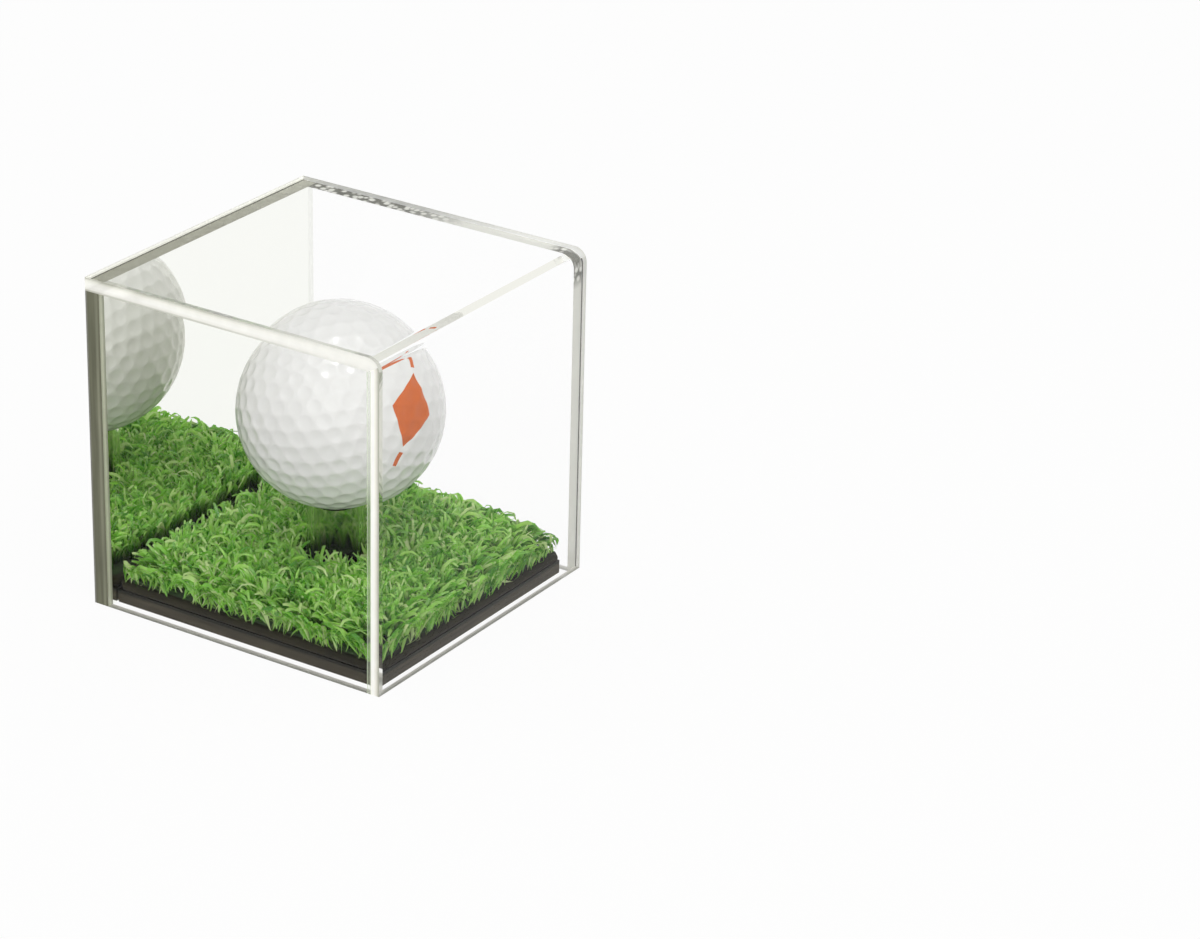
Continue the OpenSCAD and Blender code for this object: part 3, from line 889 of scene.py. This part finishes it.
def cement_finish(name, front_clear, back_clear, bubble_tone="#7E7E76"):
    """Cement with two clear shares, and bubbles in the back half and inside the bend.

    The bend is where height less depth is large. A bubble is a spot of the Voronoi pattern.
    """
    material, tree = new_finish(name)
    place = add_node(tree, "TexCoord").outputs["Object"]
    spots = add_node(tree, "TexVoronoi", {"Vector": place, "Scale": 620.0})
    bubble = add_node(tree, "MapRange", [spots, 0.3, 0.55])
    at = add_node(tree, "SeparateXYZ", [place]).outputs
    clear_share = add_node(tree, "MapRange", [at["Y"], -5 * MM, 12 * MM, front_clear, back_clear])
    at_back = add_node(tree, "MapRange", [at["Y"], -8 * MM, 8 * MM])
    in_bend = add_node(tree, "Math", [at["Z"], at["Y"]], operation="SUBTRACT")
    at_bend = add_node(tree, "MapRange", [in_bend, 101 * MM, 104 * MM])
    trapped_air = add_node(tree, "Math", [at_back, at_bend], operation="MAXIMUM")
    spotted = add_node(tree, "Math", [bubble, trapped_air], operation="MULTIPLY")
    tint = add_node(tree, "Mix", {"Factor": spotted, "A": haze_tone, "B": bubble_tone}, data_type="RGBA")
    # Painted light: the cement glows faintly though it is no lamp.
    skin = add_node(tree, "BsdfPrincipled", {
        "Base Color": tint, "Roughness": 0.35, "Emission Color": tint, "Emission Strength": cement_painted_glow,
    })
    open_joint = add_node(tree, "BsdfTransparent", ["#FFFFFF"])
    joint = add_node(tree, "MixShader", [clear_share, skin, open_joint])
    add_node(tree, "OutputMaterial", [joint])
    return material


clear_cement = cement_finish("clear_solvent_cement", 0.97, 0.95)
fine_cement = cement_finish("fine_solvent_cement", 0.3, 0.3, bubble_tone="#E0E0D8")
bubbly_cement = cement_finish("bubbly_solvent_cement", 0.3, 0.05)

# %% [markdown]
# The front and the top are one sheet, bent over a hot wire. Its section is an outer line
# and an inner line that run up the front, round the bend and back along the top. They are
# carried across the case at four places, which part the inner face into a middle and two
# strips where the side walls are cemented on. Strips of quads close the two sawn sides.

# %% The bent front and top
arc_points = 25
front_strips = 8


def quarter(centre, radius, points):
    """Points of a quarter circle in the upright plane, from its front to its top."""
    return np.array(centre) + radius * on_circle(np.linspace(math.pi, math.pi / 2, points))


def bend_line(offset, radius):
    """Front, bend and top in the upright plane: a quarter circle between two straights."""
    front_y, top_z = case_low[1] + offset, case_high[2] - offset
    arc = quarter((front_y + radius, top_z - radius), radius, arc_points)
    return np.concatenate([[(front_y, case_low[2])], arc, [(inner_back, top_z), (case_high[1], top_z)]])


outer_line, inner_line = bend_line(0.0, bend_r), bend_line(sheet_t, inner_bend_r)
section = np.concatenate([outer_line, inner_line[::-1]])
stations, half = len(section), len(outer_line)
cuts = [case_low[0], case_low[0] + sheet_t, case_high[0] - sheet_t, case_high[0]]
sheet_points = np.concatenate([np.column_stack([np.full(stations, x), section]) for x in cuts])
around_faces = grid_faces(len(cuts), stations, close_columns=True)[:, ::-1]
strip = np.arange(half - 1)
partner = stations - 1 - strip
left_cap = np.stack([strip, strip + 1, partner - 1, partner], -1)
right_cap = left_cap[:, ::-1] + stations * (len(cuts) - 1)
sheet_faces = np.concatenate([around_faces, left_cap, right_cap])

CLEAR, TOP_EDGE, FRONT_EDGE, BACK_EDGE, WALL_END, FOOT, JOINT, FINE, BUBBLES = range(9)
around_finish = np.full((len(cuts) - 1, stations), CLEAR)
around_finish[:, half - 1] = BACK_EDGE
around_finish[:, stations - 1] = FOOT
around_finish[:, half] = JOINT
around_finish[0, half + 1] = FINE
around_finish[0, half + 2:stations - 1] = JOINT
around_finish[2, half + 1:stations - 1] = BUBBLES
cap_finish = np.where(strip < front_strips, FRONT_EDGE, TOP_EDGE)
k = np.arange(stations)
is_arc = ((k > 0) & (k < arc_points)) | ((k > half + 1) & (k <= half + arc_points))
edge_finishes = [
    sawn_top, sawn_front, sawn_back, sawn_wall_end, sawn_foot, clear_cement, fine_cement, bubbly_cement
]
make_piece(
    "bent_front_and_top", sheet_points, sheet_faces, [bent_acrylic] + edge_finishes, "cover",
    ["front_top_panel"], "clear_acrylic",
    smooth=np.concatenate([np.tile(is_arc, len(cuts) - 1), np.zeros(2 * (half - 1), bool)]),
    face_finish=np.concatenate([around_finish.ravel(), cap_finish, cap_finish]), crease=30,
    edge_rim=np.tile(k >= half, len(cuts)).astype(float),
)

# %% [markdown]
# Each side wall fits inside the bent sheet and ends against the mirror. Its outline is
# drawn once, and both walls are that outline with a thickness. A hair's gap keeps its
# cemented faces off the other sheets, so that no two faces lie in one place.

# %% The side walls
joint_gap = 0.02 * MM
wall_arc_points = 7


def side_wall(name, left, node, joint, back_finish):
    """The side outline at the wall's two faces, joined by a strip round its edge."""
    centre = (inner_front + inner_bend_r, inner_top - inner_bend_r)
    arc = quarter(centre, inner_bend_r - joint_gap, wall_arc_points)
    back_y = inner_back - joint_gap
    ends = [(back_y, inner_top - joint_gap), (back_y, 0.0)]
    outline = np.concatenate([[(inner_front + joint_gap, 0.0)], arc, ends])
    n = len(outline)
    points = np.concatenate([np.column_stack([np.full(n, x), outline]) for x in (left, left + sheet_t)])
    rim = [list(f) for f in grid_faces(2, n, close_columns=True)[:, ::-1]]
    faces = rim + [list(range(n)), list(range(n, 2 * n))[::-1]]
    make_piece(
        name, points, faces, [acrylic] + edge_finishes, "cover", [node], "clear_acrylic", smooth=False,
        face_finish=[joint] * (n - 2) + [back_finish, FOOT, CLEAR, CLEAR],
        edge_rim=np.repeat([0.0, 1.0], n),
    )


side_wall("left_wall", case_low[0], "left_side_panel", JOINT, WALL_END)
side_wall("right_wall", case_high[0] - sheet_t, "right_side_panel", BUBBLES, JOINT)

# %% [markdown]
# ## The mirror
#
# The back wall is a mirrored sheet, with its bright face inwards. Its sawn edge shows the
# dark olive grey of the metal film and the sheet behind it, and its back has a grey coat.
# Its top edge lies under the cement of the cover's top, and is painted lighter there, as
# painted light that comes down through the top sheet, most of all towards the right.

# %% Finishes: mirror film, its edge and its coat
film, tree = new_finish("aluminised_mirror_film")
metal = add_node(tree, "BsdfPrincipled", {"Base Color": "#FAFBF6", "Metallic": 1.0, "Roughness": 0.0})
add_node(tree, "OutputMaterial", [metal])

mirror_edge = saw_cut_finish(
    "sawn_mirror_sheet_edge", (900.0, 900.0, 60.0), "#5F604F", "#A3A48E", 1, mirror_low, mirror_high,
    {0: "#C8C8C0", 0.12: "#D8D8D0", 0.22: "#FFFFFF", 0.34: "#F4F4F0", 0.42: "#D2D2CA", 1: "#D0D0C8"},
    gloss=0.3,
)

# Painted light: the top edge is lighter, most of all towards the right.
lit_mirror_top_edge, tree = new_finish("cemented_mirror_top_edge_painted_light")
place = add_node(tree, "TexCoord").outputs["Object"]
sideways = add_node(tree, "SeparateXYZ", [place]).outputs["X"]
top_light_share = add_node(tree, "MapRange", [sideways, case_low[0], case_high[0]])
painted_top_light = add_node(tree, "ValToRGB", [top_light_share], {0: "#A2A290", 0.5: "#B0B0A0", 1: "#D2D2C6"})
streaks = add_node(tree, "TexNoise", {"Vector": place, "Scale": 300.0, "Detail": 3.0})
top_edge_tint = add_node(tree, "Mix", {"Factor": streaks, "A": painted_top_light, "B": "#BDBDAE"}, data_type="RGBA")
top_edge_skin = add_node(tree, "BsdfPrincipled", {"Base Color": top_edge_tint, "Roughness": 0.5})
add_node(tree, "OutputMaterial", [top_edge_skin])

coat = mottled_finish(
    "grey_protective_coat", (1500.0, 3.0), "#77776F", "#8C8C84", {"Roughness": 0.6},
    relief=(1500.0, 3.0, 0.3, 0.05 * MM),
)
refinish("mirror_backing", coat)

# %% The mirror sheet
mirror_points = np.array([
    (x, y, z)
    for z in (0.0, inner_top - joint_gap)
    for y in (inner_back, mirror_high[1])
    for x in (case_low[0], case_high[0])
])
mirror_faces = [(0, 1, 5, 4), (1, 3, 7, 5), (3, 2, 6, 7), (2, 0, 4, 6), (4, 5, 7, 6), (0, 2, 3, 1)]
make_piece(
    "mirror_sheet", mirror_points, mirror_faces, [film, mirror_edge, lit_mirror_top_edge], "cover", ["mirror_panel"],
    "mirror_acrylic", smooth=False, face_finish=[0, 1, 1, 1, 2, 1],
)

# %% [markdown]
# ## The stand
#
# The ball rests on a short length of clear tube with a sawn rim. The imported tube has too
# few sides to bend light smoothly, so it is made again as a profile turned round the
# upright axis, with two rings that close it. Drawn tube has fine lengthwise ripples,
# so what shows through it is blurred, and its faint tint makes it show against white.

# %% The clear tube
turns = 160
bore_r = 4.75 * MM
nick = 0.12 * MM
tube_profile = [
    (stand_r, stand_low[2]), (stand_r, stand_high[2] - nick), (stand_r - nick, stand_high[2]),
    (bore_r, stand_high[2]), (bore_r, stand_low[2]),
]
tube_ring = on_circle(full_circle(turns))
tube_points = np.concatenate([np.column_stack([tube_ring * r, np.full(turns, z)]) for r, z in tube_profile])
tube_faces = grid_faces(len(tube_profile), turns, close_rows=True, close_columns=True)
tube_row = np.repeat(np.arange(len(tube_profile)), turns)
drawn_acrylic = clear_finish("drawn_acrylic_tube", dim="#F0F0EA", tint="#F9FAF7", rough=0.12)
make_piece(
    "clear_tube", tube_points, tube_faces, [drawn_acrylic], "base", ["ball_stand"], "clear_acrylic",
    smooth=np.isin(tube_row, (0, 3)), crease=30,
)

# %% [markdown]
# The rubber core is shut inside the ball and never shows, so moulded rubber will do.

# %% Finish: moulded rubber core
core = mottled_finish("moulded_rubber_core", (500.0, 4.0), "#8A5A32", "#B37B48", {"Roughness": 0.7})
refinish("ball_core", core)

# %% [markdown]
# ## Floor and light
#
# The case stands on seamless white. Rays from the camera, and those that come by a
# mirror or through clear sheet, see the floor and the sky as plain white. Rays from a
# matt surface see a sky of ordinary strength, so the object is lit at a plain level. The
# floor also keeps a soft part of the object's shadow.

# %% The white floor
plain_white = 0.94
floor_half = 3.0
floor_z = -0.05 * MM


def seen_directly(tree):
    """1 for rays of the eye, also through clear sheet or by a mirror, and 0 after a matt bounce."""
    path = add_node(tree, "LightPath").outputs
    eye = add_node(tree, "Math", [path["Is Camera Ray"], path["Is Glossy Ray"]], operation="MAXIMUM")
    seen = add_node(tree, "Math", [eye, path["Is Transmission Ray"]], operation="MAXIMUM")
    no_matt = add_node(tree, "Math", [path["Diffuse Depth"], 0.5], operation="LESS_THAN")
    return add_node(tree, "Math", [seen, no_matt], operation="MULTIPLY")


ground, tree = new_finish("seamless_white_paper")
paper = add_node(tree, "BsdfDiffuse", ["#F4F4F2"])
plain = add_node(tree, "Emission", ["#FFFFFF", 1])
direct = seen_directly(tree)
plain_share = add_node(tree, "Math", [direct, plain_white], operation="MULTIPLY")
floor_mix = add_node(tree, "MixShader", [plain_share, paper, plain])
add_node(tree, "OutputMaterial", [floor_mix])

floor_mesh = bpy.data.meshes.new("floor")
floor_points = [(x * floor_half, y * floor_half, floor_z) for x, y in ((-1, -1), (1, -1), (1, 1), (-1, 1))]
floor_mesh.from_pydata(floor_points, [], [(0, 1, 2, 3)])
floor_mesh.materials.append(ground)
floor = bpy.data.objects.new("floor", floor_mesh)
bpy.context.scene.collection.objects.link(floor)
print("floor", 2 * floor_half, "m wide")

# %% The sky
sky_strength = 0.71
world = bpy.data.worlds.new("white_studio")
bpy.context.scene.world = world
world.use_nodes = True
tree = world.node_tree
tree.nodes.clear()
direct = seen_directly(tree)
strength = add_node(tree, "MapRange", [direct, 0, 1, sky_strength, 1])
sky = add_node(tree, "Background", ["#FFFFFF", strength])
add_node(tree, "OutputWorld", [sky])
print("sky strength on the object", sky_strength)

# %% [markdown]
# Two soft boxes add shape: a small one overhead, which gives the ball its highlight, and
# a large weak one in front and to the left.

# %% The soft boxes


def soft_box(name, place, aim, size, watts):
    """A square lamp at a place, facing a point."""
    lamp = bpy.data.lights.new(name, "AREA")
    lamp.size = size
    lamp.energy = watts
    away = np.array(place) - np.array(aim)
    away /= np.linalg.norm(away)
    side = np.cross([0.0, 0.0, 1.0], away)
    side /= np.linalg.norm(side)
    put_at(bpy.data.objects.new(name, lamp), side, np.cross(away, side), away, place)
    print(name, watts, "W,", size, "m wide")


aim = (0.0, 0.0, 0.03)
soft_box("overhead_box", (-0.12, -0.1, 0.8), aim, size=0.14, watts=0.55)
soft_box("front_box", (-0.75, -0.5, 0.5), aim, size=0.8, watts=1.6)

# %% Settings
bpy.context.scene.view_settings.view_transform = "Standard"
